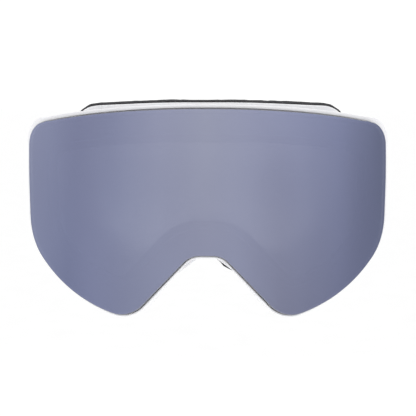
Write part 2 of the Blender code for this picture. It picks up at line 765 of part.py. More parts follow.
def strap_side(side, word, clip_name, fingers):
    """One half of the strap: its webbing, grip lines, slider and clip half."""
    body = pivot(f"strap_pivot_{word}", (PIN.x * side, BAR_Y, STRAP_Z))
    line = strap_line()
    band(f"strap_{word}", line, side, "webbing", body)

    back_end = Vector((RETURN_X, SLIDER_Y - SLIDER_BAR / 2 - GAP))
    start = Vector((PIN.x - WRAP_RADIUS, BAR_Y + 3 * MM + GAP))
    bend = Vector((RETURN_X, RUN_YS[0] + 5 * MM))
    inner = [start, start.lerp(bend, 0.15) + Vector((0, 1 * MM)), bend, back_end]
    band(f"strap_return_{word}", inner, side, "webbing", body)

    shift = STRAP_THICKNESS / 2 + GAP + GRIP.x / 2
    grip_line = beside(head_curve()[1:-3], shift)
    for number, height in enumerate(GRIP_HEIGHTS, 1):
        name = f"grip_line_{word}_{number}"
        band(name, grip_line, side, "silicone", body, GRIP.y, STRAP_Z + height, GRIP.x)

    clip_half(clip_name, side, fingers, body)
    slider_body = pivot(f"slider_axis_{word}", (RUN_X * side, SLIDER_Y, STRAP_Z))
    slider(side, word, slider_body)


def main():
    for obj in list(bpy.data.objects):
        bpy.data.objects.remove(obj)
    lens, foam, eye = (in_metres(c) for c in (LENS_CORNERS, FOAM_CORNERS, EYE_CORNERS))
    lens_group(lens)
    front_frame(lens)
    face_skirt(lens, foam, eye)
    face_foam(foam, eye)
    tongue, prong, prong_end, guard, guard_end = CLIP_FINGERS
    catch = [(-tongue, tongue), (guard, guard_end), (-guard_end, -guard)]
    hook = [(prong, prong_end), (-prong_end, -prong)]
    for side, word, clip_name, fingers in (
        (-1, "left", "clip_hook", hook),
        (1, "right", "clip_catch", catch),
    ):
        temple_bracket(side, word)
        outrigger(side, word, pivot(f"outrigger_pivot_{word}", (PIN.x * side, PIN.y, STRAP_Z)))
        strap_side(side, word, clip_name, fingers)


main()
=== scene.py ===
"""The looks of the ski goggles: smooth shells, foam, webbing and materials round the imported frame.

Metres, +Z up, lens towards -Y, as in the frame. Lens shapes are drawn flat, as (s, depth, z), and
bent round the lens axis. Foam shapes are drawn as (x, back, z), and pushed back by the face curve.
"""

from math import acos, atan2, cos, pi, radians, sin, sqrt, tan

import bmesh
import bpy
from mathutils import Matrix, Vector, noise


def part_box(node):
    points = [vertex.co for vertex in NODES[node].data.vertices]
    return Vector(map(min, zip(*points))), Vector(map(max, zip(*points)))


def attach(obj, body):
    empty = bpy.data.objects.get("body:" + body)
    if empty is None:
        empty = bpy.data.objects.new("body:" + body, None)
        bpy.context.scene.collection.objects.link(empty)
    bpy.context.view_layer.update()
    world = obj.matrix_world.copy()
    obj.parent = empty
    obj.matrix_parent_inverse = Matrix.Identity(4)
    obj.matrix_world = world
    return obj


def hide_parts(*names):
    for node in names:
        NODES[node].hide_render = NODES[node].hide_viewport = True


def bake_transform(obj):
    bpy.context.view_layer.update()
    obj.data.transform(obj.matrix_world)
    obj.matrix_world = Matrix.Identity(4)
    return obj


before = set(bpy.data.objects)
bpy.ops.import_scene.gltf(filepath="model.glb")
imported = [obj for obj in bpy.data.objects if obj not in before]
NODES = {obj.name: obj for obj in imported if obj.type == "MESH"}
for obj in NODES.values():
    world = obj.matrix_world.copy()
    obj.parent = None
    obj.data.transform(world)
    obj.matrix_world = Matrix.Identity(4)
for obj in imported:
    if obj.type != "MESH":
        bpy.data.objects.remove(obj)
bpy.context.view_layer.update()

MM = 0.001
GAP = 0.3 * MM
FINE = 4  # outline segments here for each one of the frame

# ---------------------------------------------------------------- camera

CAMERA_DISTANCE = 1.0
CAMERA_ELEVATION = radians(4.5)
CAMERA_AZIMUTH = radians(0.8)
CAMERA_AIM = Vector((0.0004, -0.010, -0.0005))
CAMERA_LENS = 175.4

# ---------------------------------------------------------------- the two curved sheets

LENS_RADIUS = 120 * MM
LENS_FRONT_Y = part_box("outer_lens")[0].y
LENS_AXIS_Y = LENS_FRONT_Y + LENS_RADIUS
FACE_RADIUS = 95 * MM

# Half outlines in mm, as in the frame: across, up, corner radius, segments since the last count.
LENS_CORNERS = (
    (0, 50.2, 0, 0),
    (44.8, 50.2, 520, 0),
    (99.0, 40.9, 12.4, 12),
    (99.4, 15.8, 260, 0),
    (97.9, -16.3, 30.5, 0),
    (71.1, -42.1, 102, 0),
    (38.0, -52.1, 16, 18),
    (7.6, -20.9, 10.5, 6),
    (0, -20.9, 0, 2),
)
FOAM_CORNERS = (
    (0, 52.5, 0, 0),
    (22, 52.5, 500, 0),
    (68.4, 49.8, 14, 12),
    (75.5, 12, 120, 0),
    (70, -18, 45, 0),
    (36.4, -48.4, 14, 18),
    (1.9, -22.5, 5, 6),
    (0, -22.5, 0, 2),
)
EYE_CORNERS = (
    (0, 33, 0, 0),
    (61, 33, 17, 12),
    (61, -2, 40, 0),
    (34, -27, 9, 18),
    (8, -6, 12, 6),
    (0, -6, 0, 2),
)
MIN_CORNER = 9 * MM
BEND_WEIGHT = 22 * MM

# ---------------------------------------------------------------- outlines


def fillet(before, corner, after, radius, steps=32):
    """Points of the arc that rounds a corner."""
    to_before = (before - corner).normalized()
    to_after = (after - corner).normalized()
    half = acos(max(-1.0, min(1.0, to_before.dot(to_after)))) / 2
    centre = corner + (to_before + to_after).normalized() * (radius / sin(half))
    first = corner + to_before * (radius / tan(half)) - centre
    last = corner + to_after * (radius / tan(half)) - centre
    start = atan2(first.y, first.x)
    sweep = (atan2(last.y, last.x) - start + pi) % (2 * pi) - pi
    angles = [start + sweep * k / steps for k in range(steps + 1)]
    return [centre + Vector((cos(a), sin(a))) * radius for a in angles]


def stepped(line, measure, count):
    """Points of a line at even steps of a measure that grows along it."""
    points = []
    for k in range(count + 1):
        wanted = measure[-1] * k / count
        i = next(j for j in range(1, len(measure)) if measure[j] >= wanted - 1e-12)
        share = (wanted - measure[i - 1]) / (measure[i] - measure[i - 1])
        points.append(line[i - 1].lerp(line[i], share))
    return points


def spaced(points, count):
    """The line again as count segments, closer together where it bends."""
    measure = [0.0]
    for i in range(1, len(points)):
        step = points[i] - points[i - 1]
        bend = 0.0
        if i > 1 and step.length > 0:
            bend = abs(step.angle(points[i - 1] - points[i - 2], 0.0))
        measure.append(measure[-1] + step.length + BEND_WEIGHT * bend)
    return stepped(points, measure, count)


def fitted(corners):
    """The same corners, with arcs short enough to lie one after the other."""
    places = [place for place, radius, count in corners]
    sides = [b - a for a, b in zip(places, places[1:])]
    turns = [0.0] + [abs(a.angle_signed(b)) for a, b in zip(sides, sides[1:])] + [0.0]
    reaches = [corner[1] * tan(turn / 2) for corner, turn in zip(corners, turns)]
    pairs = zip(sides, reaches, reaches[1:])
    shares = [min(1.0, 0.97 * side.length / max(a + b, MM)) for side, a, b in pairs]
    shares = [shares[0]] + [min(a, b) for a, b in zip(shares, shares[1:])] + [shares[-1]]
    return [(place, radius * share, count) for (place, radius, count), share in zip(corners, shares)]


def outline(corners, fine=FINE):
    """The closed outline of a half outline and its mirror image, clockwise from the brow."""
    corners = fitted(corners)
    half = []
    pending = [corners[0][0]]
    for i in range(1, len(corners) - 1):
        place, radius, count = corners[i]
        arc = fillet(corners[i - 1][0], place, corners[i + 1][0], radius)
        middle = len(arc) // 2
        if count:
            half += spaced(pending + arc[: middle + 1], count * fine)[:-1]
            pending = arc[middle:]
        else:
            pending += arc
    half += spaced(pending + [corners[-1][0]], corners[-1][2] * fine)
    mirrored = [Vector((-p.x, p.y)) for p in half[1:-1]]
    return half + mirrored[::-1]


def in_metres(corners):
    return [(Vector((x, z)) * MM, radius * MM, count) for x, z, radius, count in corners]


def inward(direction):
    """The inward normal of a clockwise outline's direction."""
    return Vector((direction.y, -direction.x)).normalized()


def inward_at(loop, i):
    """The inward normal at a point of a closed outline."""
    return inward(loop[(i + 1) % len(loop)] - loop[i - 1])


def inset_corners(corners, distance):
    """The corners of the same outline, moved in by a distance, with no corner too tight."""
    moved = []
    for i, (place, radius, count) in enumerate(corners):
        if i in (0, len(corners) - 1):
            towards = -1 if i == 0 else 1
            moved.append((place + Vector((0, towards * distance)), radius, count))
            continue
        before = inward(place - corners[i - 1][0])
        after = inward(corners[i + 1][0] - place)
        shift = (before + after) * (distance / (1 + before.dot(after)))
        convex = (place - corners[i - 1][0]).cross(corners[i + 1][0] - place) < 0
        new_radius = max(radius - distance, MIN_CORNER) if convex else radius + distance
        moved.append((place + shift, new_radius, count))
    return moved


def inset(loop, distance):
    """A closed outline moved in by a small distance."""
    return [p + inward_at(loop, i) * distance for i, p in enumerate(loop)]


def swollen(loop, place, reach, height):
    """A closed outline that bulges outward round a place."""
    moved = []
    for i, p in enumerate(loop):
        away = (p - place).length / reach
        push = height * (1 + cos(pi * min(1.0, away))) / 2
        moved.append(p - inward_at(loop, i) * push)
    return moved


def rise(height, span):
    """How far a height is on its way up a span, from 0 to 1."""
    low, high = span
    return max(0.0, min(1.0, (height - low) / (high - low)))


def lowered(loop, drop):
    """A closed outline whose brow lies a little lower."""
    return [p - Vector((0, drop * rise(p.y, BROW_RISE))) for p in loop]


def mix_loops(first, second, share=0.5):
    return [a.lerp(b, share) for a, b in zip(first, second)]


def bent(s, depth, z):
    """A point of the flat lens drawing, bent round the lens axis."""
    radius = LENS_RADIUS - depth
    angle = s / LENS_RADIUS
    return Vector((radius * sin(angle), LENS_AXIS_Y - radius * cos(angle), z))


def faced(x, back, z):
    """A point of the face drawing, pushed back by the curve of the face."""
    return Vector((x, back + FACE_RADIUS - sqrt(FACE_RADIUS**2 - x**2), z))


def bent_loop(loop, depth):
    return [bent(p.x, depth, p.y) for p in loop]


def faced_loop(loop, back):
    return [faced(p.x, back, p.y) for p in loop]


SOFT_CORNER = Vector((-69, 47)) * MM  # the skirt and foam are slightly drawn in at one brow corner
SOFT_REACH = 17 * MM
SOFT_DROP = 2.0 * MM
FOAM_DROP = 0.25 * MM
BROW_RISE = (25 * MM, 40 * MM)  # outlines are lowered above the first height, in full from the second

LENS = in_metres(LENS_CORNERS)
FOAM = in_metres(FOAM_CORNERS)
EYE = in_metres(EYE_CORNERS)
LENS_EDGE = outline(LENS)
FOAM_EDGE = lowered(swollen(outline(FOAM), SOFT_CORNER, SOFT_REACH, -SOFT_DROP), FOAM_DROP)
EYE_EDGE = outline(EYE)

# ---------------------------------------------------------------- materials


class Tree:
    """A short way to build a node tree."""

    def __init__(self, tree):
        self.tree = tree

    def add(self, kind, inputs=None, **settings):
        node = self.tree.nodes.new(kind)
        for name, value in settings.items():
            setattr(node, name, value)
        for name, value in (inputs or {}).items():
            if isinstance(value, bpy.types.NodeSocket):
                self.tree.links.new(value, node.inputs[name])
            else:
                node.inputs[name].default_value = value
        return node

    def place(self, scale=1.0):
        """The point of the surface in metres, times a scale."""
        inputs = {0: self.add("ShaderNodeTexCoord").outputs["Object"], "Scale": scale}
        return self.add("ShaderNodeVectorMath", inputs, operation="SCALE").outputs[0]

    def noise(self, size, detail=3.0, vector=None):
        """Noise with features of about a size in metres."""
        inputs = {"Scale": 1.0 / size, "Detail": detail}
        inputs["Vector"] = vector or self.place()
        return self.add("ShaderNodeTexNoise", inputs).outputs["Fac"]

    def cells(self, size):
        inputs = {"Vector": self.place(), "Scale": 1.0 / size}
        return self.add("ShaderNodeTexVoronoi", inputs).outputs["Distance"]

    def ramp(self, value, *stops):
        """A value or colour that follows the input: stops are (place, value or colour)."""
        node = self.add("ShaderNodeValToRGB", {"Fac": value})
        elements = node.color_ramp.elements
        elements[0].position, elements[1].position = stops[0][0], stops[-1][0]
        for place, colour in stops[1:-1]:
            elements.new(place)
        for number, (place, colour) in enumerate(stops):
            colour = (*colour, 1) if hasattr(colour, "__len__") else (colour, colour, colour, 1)
            elements[number].color = colour
        return node.outputs["Color"]

    def maths(self, operation, a, b=0.0):
        return self.add("ShaderNodeMath", {0: a, 1: b}, operation=operation).outputs[0]

    def share(self, value, low, high):
        """How far a value is on its way from low to high, from 0 to 1."""
        inputs = {"Value": value, "From Min": low, "From Max": high}
        return self.add("ShaderNodeMapRange", inputs).outputs["Result"]

    def mix(self, share, first, second, **settings):
        inputs = {0: share, 6: first, 7: second}
        return self.add("ShaderNodeMix", inputs, data_type="RGBA", **settings).outputs[2]


class Nodes(Tree):
    """A short way to build a material."""

    def __init__(self, name, **sockets):
        self.material = bpy.data.materials.new(name)
        self.material.use_nodes = True
        super().__init__(self.material.node_tree)
        self.shader = self.tree.nodes["Principled BSDF"]
        for socket, value in sockets.items():
            self.shader.inputs[socket.replace("_", " ")].default_value = value

    def colour(self, socket):
        self.tree.links.new(socket, self.shader.inputs["Base Color"])

    def roughness(self, socket):
        self.tree.links.new(socket, self.shader.inputs["Roughness"])

    def tones(self, value, first, second):
        """Colours between two, as a value goes from 0.3 to 0.7."""
        self.colour(self.ramp(value, (0.3, first), (0.7, second)))

    def polish(self, value, first, second):
        """Roughnesses between two, as a value goes from 0.3 to 0.7."""
        self.roughness(self.ramp(value, (0.3, first), (0.7, second)))

    def bump(self, height, distance, strength=1.0):
        """Bump from a height, and on top of the bump that is already there."""
        inputs = {"Height": height, "Distance": distance, "Strength": strength}
        if self.shader.inputs["Normal"].links:
            inputs["Normal"] = self.shader.inputs["Normal"].links[0].from_socket
        node = self.add("ShaderNodeBump", inputs)
        self.tree.links.new(node.outputs["Normal"], self.shader.inputs["Normal"])


# Painted reflection and shade on the mirror lens: how far it spreads across and up the lens.
PAINTED_REFLECTION_SPAN = 84.9 * MM
PAINTED_REFLECTION_RISE = (-48 * MM, 42 * MM)
PAINTED_REFLECTION_HIGH = (  # painted reflection and shade across the top of the lens, lighter in the middle and darker to the sides: (share from -X to +X, colour)
    (0.0, (0.83, 0.85, 0.89)),
    (0.125, (0.73, 0.75, 0.82)),
    (0.24, (0.81, 0.83, 0.88)),
    (0.36, (1.04, 1.04, 1.02)),
    (0.5, (1.08, 1.07, 1.0)),
    (0.62, (1.05, 1.05, 1.03)),
    (0.77, (0.94, 0.96, 1.0)),
    (0.88, (0.75, 0.78, 0.86)),
    (1.0, (0.46, 0.49, 0.56)),
)
PAINTED_REFLECTION_LOW = (  # the same painted reflection and shade across the bottom of the lens
    (0.0, (0.73, 0.77, 0.85)),
    (0.1, (0.62, 0.66, 0.76)),
    (0.16, (0.72, 0.75, 0.84)),
    (0.32, (0.86, 0.88, 0.90)),
    (0.5, (1.04, 1.04, 1.02)),
    (0.585, (0.98, 0.99, 0.98)),
    (0.71, (0.75, 0.75, 0.76)),
    (0.88, (0.57, 0.59, 0.66)),
    (1.0, (0.44, 0.47, 0.55)),
)


def mirror_material():
    """The mirror coating on smoke-grey polycarbonate: cloudy and dusty, with painted reflection and
    shade that make it lighter in the middle and darker to the sides.
    """
    coat = {"Coat_Weight": 0.25, "Coat_Roughness": 0.06, "Coat_IOR": 1.45}
    nodes = Nodes("mirror_coating", Metallic=0.92, Alpha=0.93, **coat)
    split = nodes.add("ShaderNodeSeparateXYZ", {0: nodes.place()})
    across = nodes.share(split.outputs["X"], -PAINTED_REFLECTION_SPAN, PAINTED_REFLECTION_SPAN)
    height = nodes.share(split.outputs["Z"], *PAINTED_REFLECTION_RISE)
    # painted reflection and shade: a tone, lighter in the middle of the lens and darker to the sides,
    # multiplied into the coating's colour
    painted_reflection = nodes.mix(height, nodes.ramp(across, *PAINTED_REFLECTION_LOW), nodes.ramp(across, *PAINTED_REFLECTION_HIGH))
    slanted = {"Vector": nodes.place(), "Rotation": (0, 0.6, 0), "Scale": (1.0, 1.0, 0.35)}
    slant = nodes.add("ShaderNodeMapping", slanted).outputs[0]
    clouds = nodes.noise(0.035, 1.5, slant)
    coating = nodes.ramp(clouds, (0.3, (0.262, 0.278, 0.405)), (0.7, (0.29, 0.31, 0.445)))
    nodes.colour(nodes.mix(1.0, coating, painted_reflection, blend_type="MULTIPLY"))
    dust = nodes.noise(0.0009, 2.0)
    nodes.roughness(nodes.ramp(dust, (0.35, 0.13), (0.75, 0.19)))
    nodes.bump(nodes.noise(0.03, 1.0), 0.00006, 0.6)
    return nodes.material


def lens_edge_material():
    """The bare polished edge of the lens, smoke grey under the coating."""
    nodes = Nodes("lens_edge", Metallic=0.15, Coat_Weight=0.1)
    nodes.tones(nodes.noise(0.004), (0.18, 0.188, 0.24), (0.23, 0.24, 0.30))
    nodes.polish(nodes.noise(0.001), 0.25, 0.4)
    return nodes.material


def lens_back_material():
    """The smoke-grey back of the mirrored sheet: glossy, and clear enough to see through."""
    nodes = Nodes("lens_back", Alpha=0.3, IOR=1.58, Coat_Weight=0.2)
    nodes.tones(nodes.noise(0.05, 1.0), (0.10, 0.105, 0.14), (0.14, 0.145, 0.19))
    nodes.polish(nodes.noise(0.001), 0.08, 0.16)
    return nodes.material


def clear_material():
    """The inner lens, whose bluish anti-fog layer scatters what lies behind it."""
    nodes = Nodes("clear_lens", Alpha=0.85, Transmission_Weight=0.95, IOR=1.49, Coat_Weight=0.3)
    nodes.tones(nodes.noise(0.05, 1.0), (0.7, 0.74, 0.82), (0.8, 0.82, 0.88))
    nodes.polish(nodes.noise(0.002), 0.26, 0.34)
    return nodes.material


def white_material(name, gloss, softness):
    """White moulded plastic: fine grain, faint cloudiness, and soft light inside it."""
    coat = {"Coat_Weight": 0.15, "Coat_Roughness": 0.25}
    nodes = Nodes(name, Subsurface_Weight=softness, Subsurface_Scale=0.002, **coat)
    nodes.shader.inputs["Subsurface Radius"].default_value = (1.0, 0.9, 0.9)
    nodes.tones(nodes.noise(0.02, 2.0), (0.88, 0.88, 0.905), (0.915, 0.915, 0.94))
    grain = nodes.noise(0.0005, 3.0)
    nodes.polish(grain, gloss - 0.05, gloss + 0.08)
    nodes.bump(grain, 0.00003, 0.5)
    return nodes.material


def plastic_material():
    """Black moulded plastic with a spark-eroded texture and greyer worn edges."""
    nodes = Nodes("moulded_plastic", Specular_IOR_Level=0.45)
    edges = nodes.add("ShaderNodeNewGeometry").outputs["Pointiness"]
    worn = nodes.maths("ADD", edges, nodes.maths("MULTIPLY", nodes.noise(0.0012), 0.06))
    nodes.colour(nodes.ramp(worn, (0.52, (0.018, 0.018, 0.021)), (0.62, (0.055, 0.055, 0.06))))
    nodes.polish(nodes.noise(0.003), 0.38, 0.52)
    nodes.bump(nodes.cells(0.0004), 0.00004, 0.6)
    return nodes.material


def metal_material(name, colour, roughness):
    """Plated or drawn metal with fine scratches."""
    nodes = Nodes(name, Metallic=1.0)
    dark = tuple(c * 0.82 for c in colour)
    nodes.tones(nodes.noise(0.003), dark, colour)
    flattened = {0: nodes.place(), 1: (1, 1, 0.05)}
    drawn = nodes.add("ShaderNodeVectorMath", flattened, operation="MULTIPLY").outputs[0]
    scratches = nodes.noise(0.0002, 2.0, drawn)
    nodes.polish(scratches, roughness, roughness + 0.15)
    nodes.bump(scratches, 0.00001, 0.4)
    return nodes.material


def foam_material(name, dark, light, pore):
    """Open-cell foam: pores at two sizes, dark inside."""
    nodes = Nodes(name, Specular_IOR_Level=0.15, Sheen_Weight=0.05, Sheen_Roughness=0.6)
    pores = nodes.cells(pore)
    small = nodes.cells(pore * 0.45)
    height = nodes.maths("MULTIPLY", pores, nodes.maths("ADD", small, 0.4))
    nodes.colour(nodes.ramp(height, (0.05, dark), (0.5, light)))
    nodes.polish(nodes.noise(0.004), 0.85, 0.98)
    nodes.bump(height, pore * 0.5, 0.9)
    return nodes.material


def fleece_material():
    """Brushed fleece: short tangled fibres with a soft sheen."""
    nodes = Nodes("brushed_fleece", Specular_IOR_Level=0.1, Sheen_Weight=0.2, Sheen_Roughness=0.45)
    fibres = nodes.noise(0.0007, 6.0)
    tufts = nodes.noise(0.004, 3.0)
    both = nodes.maths("ADD", nodes.maths("MULTIPLY", fibres, 0.6), nodes.maths("MULTIPLY", tufts, 0.4))
    nodes.colour(nodes.ramp(both, (0.35, (0.014, 0.014, 0.017)), (0.65, (0.05, 0.05, 0.056))))
    nodes.polish(tufts, 0.9, 1.0)
    nodes.bump(both, 0.0004, 0.9)
    return nodes.material


STRAP_WIDTH = 40 * MM
STRIPES = ((0.14, 0.17), (0.83, 0.86))  # pale stripes, as shares of the webbing's width


def webbing_material():
    """Woven elastic: ribs across the band, warp threads along it, pale stripes and a selvedge."""
    nodes = Nodes("woven_elastic", Specular_IOR_Level=0.2, Sheen_Weight=0.3, Sheen_Roughness=0.4)
    uv = nodes.add("ShaderNodeUVMap", uv_map="band").outputs["UV"]
    split = nodes.add("ShaderNodeSeparateXYZ", {0: uv})
    along, across = split.outputs["X"], split.outputs["Y"]
    warp = nodes.maths("SINE", nodes.maths("MULTIPLY", across, 2 * pi / 0.0016))
    weft = nodes.maths("SINE", nodes.maths("MULTIPLY", along, 2 * pi / 0.0012))
    weave = nodes.maths("MULTIPLY", warp, weft)
    height = nodes.maths("ADD", nodes.maths("MULTIPLY", weave, 0.35), 0.5)
    fuzz = nodes.noise(0.0012, 4.0)
    tone = nodes.maths("ADD", nodes.maths("MULTIPLY", height, 0.6), nodes.maths("MULTIPLY", fuzz, 0.5))
    black = nodes.ramp(tone, (0.25, (0.012, 0.012, 0.015)), (0.85, (0.06, 0.06, 0.07)))
    pale = nodes.ramp(tone, (0.25, (0.2, 0.21, 0.24)), (0.85, (0.5, 0.51, 0.55)))
    width = nodes.maths("DIVIDE", across, STRAP_WIDTH)
    stripe = 0.0
    for low, high in STRIPES:
        above, below = nodes.maths("GREATER_THAN", width, low), nodes.maths("LESS_THAN", width, high)
        stripe = nodes.maths("ADD", nodes.maths("MULTIPLY", above, below), stripe)
    nodes.colour(nodes.mix(stripe, black, pale))
    nodes.polish(fuzz, 0.75, 0.95)
    nodes.bump(height, 0.0003, 0.8)
    return nodes.material


def thread_material():
    """Polyester stitching thread, with its twist."""
    nodes = Nodes("stitching_thread", Sheen_Weight=0.3)
    twist = nodes.noise(0.0004, 2.0)
    nodes.tones(twist, (0.16, 0.165, 0.18), (0.34, 0.345, 0.37))
    nodes.polish(twist, 0.5, 0.7)
    nodes.bump(twist, 0.0001)
    return nodes.material


def silicone_material():
    """Printed silicone: grey, smooth and slightly see-through."""
    coat = {"Coat_Weight": 0.4, "Coat_Roughness": 0.2}
    nodes = Nodes("silicone_bead", Subsurface_Weight=0.2, Subsurface_Scale=0.001, **coat)
    tone = nodes.noise(0.004)
    nodes.tones(tone, (0.38, 0.39, 0.43), (0.5, 0.51, 0.55))
    nodes.polish(nodes.noise(0.001), 0.3, 0.45)
    nodes.bump(tone, 0.0001)
    return nodes.material


def floor_material():
    """The pale studio floor, with a barely visible grain."""
    nodes = Nodes("studio_floor", Roughness=0.9, Emission_Strength=0.25)
    nodes.shader.inputs["Emission Color"].default_value = (1, 1, 1, 1)
    nodes.tones(nodes.noise(0.05), (0.86, 0.86, 0.86), (0.9, 0.9, 0.9))
    return nodes.material


MIRROR = mirror_material()
EDGE = lens_edge_material()
BACK = lens_back_material()
CLEAR = clear_material()
SHELL = white_material("white_shell", 0.32, 0.08)
SOFT_SHELL = white_material("white_soft_shell", 0.48, 0.15)
PLASTIC = plastic_material()
PLATED = metal_material("nickel_plate", (0.62, 0.6, 0.56), 0.22)
STEEL = metal_material("drawn_steel", (0.55, 0.55, 0.56), 0.28)
FOAM_BLACK = foam_material("face_foam", (0.006, 0.006, 0.008), (0.032, 0.031, 0.036), 0.0011)
FOAM_GREY = foam_material("comfort_foam", (0.01, 0.01, 0.012), (0.045, 0.044, 0.05), 0.0008)
VENT_MESH = foam_material("vent_foam", (0.006, 0.006, 0.008), (0.05, 0.05, 0.055), 0.0016)
FLEECE = fleece_material()
WEBBING = webbing_material()
THREAD = thread_material()
SILICONE = silicone_material()

# ---------------------------------------------------------------- building blocks


def linked(name, data):
    """A new object in the scene."""
    obj = bpy.data.objects.new(name, data)
    bpy.context.scene.collection.objects.link(obj)
    return obj


def add_object(name, bm, materials, smooth=40):
    """The object of a bmesh, with its faces pointing out and smooth below an angle."""
    bmesh.ops.recalc_face_normals(bm, faces=bm.faces)
    if bm.calc_volume(signed=True) < 0:
        bmesh.ops.reverse_faces(bm, faces=bm.faces)
    mesh = bpy.data.meshes.new(name)
    bm.to_mesh(mesh)
    bm.free()
    for material in materials:
        mesh.materials.append(material)
    mesh.shade_smooth()
    mesh.set_sharp_from_angle(angle=radians(smooth))
    return linked(name, mesh)


def settle(obj, body, slot, *nodes):
    """The piece rides on its body and stands for its nodes; the slot is not used."""
    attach(obj, body)
    if nodes:
        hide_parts(*nodes)
    return obj


def apply_modifiers(obj, smooth=40):
    """The object's mesh as its modifiers make it."""
    graph = bpy.context.evaluated_depsgraph_get()
    mesh = bpy.data.meshes.new_from_object(obj.evaluated_get(graph))
    obj.modifiers.clear()
    obj.data = mesh
    mesh.shade_smooth()
    mesh.set_sharp_from_angle(angle=radians(smooth))
    return obj


def bevel(obj, width, segments=3, angle=35):
    modifier = obj.modifiers.new("rounded", "BEVEL")
    modifier.width = width
    modifier.segments = segments
    modifier.limit_method = "ANGLE"
    modifier.angle_limit = radians(angle)
    return obj


def cut(obj, cutters):
    """The object with all the cutters taken out of it at once, and the cutters removed."""
    for cutter in cutters:
        modifier = obj.modifiers.new(cutter.name, "BOOLEAN")
        modifier.operation = "DIFFERENCE"
        modifier.object = cutter
    apply_modifiers(obj)
    for cutter in cutters:
        bpy.data.objects.remove(cutter)
    return obj


def skin(bm, row, following):
    """The faces between two closed rows of points."""
    pairs = list(zip(row, following))
    sides = zip(pairs, pairs[1:] + pairs[:1])
    return [bm.faces.new((a, c, d, b)) for (a, b), (c, d) in sides]


def ring(name, loops, materials, smooth=40):
    """A closed ring whose cross section runs through the given loops."""
    bm = bmesh.new()
    rows = [[bm.verts.new(p) for p in loop] for loop in loops]
    for row, following in zip(rows, rows[1:] + rows[:1]):
        skin(bm, row, following)
    return add_object(name, bm, materials, smooth)


def refined(name, node, material, body, slot, width):
    """A hard part of the frame again, with its edges rounded as a mould leaves them."""
    bm = bmesh.new()
    bm.from_mesh(NODES[node].data)
    bmesh.ops.remove_doubles(bm, verts=bm.verts, dist=0.00001)
    bmesh.ops.dissolve_limit(bm, angle_limit=radians(2), verts=bm.verts, edges=bm.edges)
    for layer in list(bm.loops.layers.uv):
        bm.loops.layers.uv.remove(layer)
    obj = add_object(name, bm, [material])
    bevel(obj, width)
    apply_modifiers(obj, 50)
    return settle(obj, body, slot, node)


def prism(name, points, low, high):
    """A plan outline, raised from one height to another."""
    bm = bmesh.new()
    face = bm.faces.new([bm.verts.new((p[0], p[1], low)) for p in points])
    raised = bmesh.ops.extrude_face_region(bm, geom=[face])["geom"]
    tops = [v for v in raised if isinstance(v, bmesh.types.BMVert)]
    bmesh.ops.translate(bm, verts=tops, vec=(0, 0, high - low))
    return add_object(name, bm, [])


# ---------------------------------------------------------------- the lens

EDGE_ROUND = 0.32 * MM
LENS_THICKNESS = 1.4 * MM
INNER_LENS_INSET = 13.4 * MM
INNER_LENS_DEPTH = 5.0 * MM
INNER_LENS_THICKNESS = 0.8 * MM
INNER_EDGE_ROUND = 0.25 * MM
PANE_MIDDLE = Vector((0, 10)) * MM
LENS_RINGS = 40
TAB_PLACE = Vector((85.6, 46)) * MM
TAB_HEIGHT = 0.35 * MM
BROW_DROP = 0.7 * MM


def pane(name, edge, depth, thickness, rounding, materials):
    """A bent sheet with a rounded edge, as rings round its middle: front, edge and back materials."""
    flat = inset(edge, rounding)
    turns = [pi / 2 * k / 4 for k in range(1, 5)]
    round_off = [(rounding * (1 - sin(a)), rounding * (1 - cos(a))) for a in turns]
    shares = [(k + 1) / LENS_RINGS for k in range(LENS_RINGS)]
    middle = [PANE_MIDDLE] * len(flat)
    inside = [mix_loops(middle, flat, share) for share in shares]
    loops = [bent_loop(loop, depth) for loop in inside]
    loops += [bent_loop(inset(edge, i), depth + d) for i, d in round_off]
    loops += [bent_loop(inset(edge, i), depth + thickness - d) for i, d in round_off[::-1]]
    last_edge = len(loops)
    loops += [bent_loop(loop, depth + thickness) for loop in inside[::-1]]

    bm = bmesh.new()
    rows = [[bm.verts.new(p) for p in loop] for loop in loops]
    count = len(edge)
    for k, (row, following) in enumerate(zip(rows, rows[1:]), 1):
        for face in skin(bm, row, following):
            face.material_index = 0 if k < LENS_RINGS else 1 if k <= last_edge else 2
    for row, d, index in ((rows[0], depth, 0), (rows[-1], depth + thickness, 2)):
        hub = bm.verts.new(bent(PANE_MIDDLE.x, d, PANE_MIDDLE.y))
        for i in range(count):
            bm.faces.new((row[i], row[(i + 1) % count], hub)).material_index = index
    return add_object(name, bm, materials, 30)


def shield_outline(edge):
    """The edge of the mirrored sheet, with two small finger tabs."""
    moved = lowered(edge, BROW_DROP)
    for side in (1, -1):
        place = Vector((side * TAB_PLACE.x, TAB_PLACE.y))
        i = min(range(len(edge)), key=lambda k: (edge[k] - place).length)
        moved[i] = moved[i] - inward_at(edge, i) * TAB_HEIGHT
    return moved


def bent_box(name, centre, direction, size, depth, material, rounding=0.0):
    """A box drawn flat on the lens, along a direction, from a depth, then bent with it."""
    along = direction.normalized()
    across = inward(direction)
    bm = bmesh.new()
    rows = []
    for d in (depth, depth + size.y):
        corners = []
        for u, v in ((-1, -1), (1, -1), (1, 1), (-1, 1)):
            p = centre + along * (u * size.x / 2) + across * (v * size.z / 2)
            corners.append(bm.verts.new(bent(p.x, d, p.y)))
        rows.append(corners)
    bm.faces.new(rows[0])
    bm.faces.new(rows[1][::-1])
    for i in range(4):
        j = (i + 1) % 4
        bm.faces.new((rows[0][i], rows[1][i], rows[1][j], rows[0][j]))
    obj = add_object(name, bm, [material] if material else [])
    if rounding:
        apply_modifiers(bevel(obj, rounding))
    return obj


MAGNET = Vector((12, 1.1, 4)) * MM
MAGNET_INSET = 6.3 * MM
MAGNET_POINTS = (4, 10, 17, 26)
MAGNET_DEPTHS = {"lens": 2.7 * MM, "frame": 4.3 * MM}


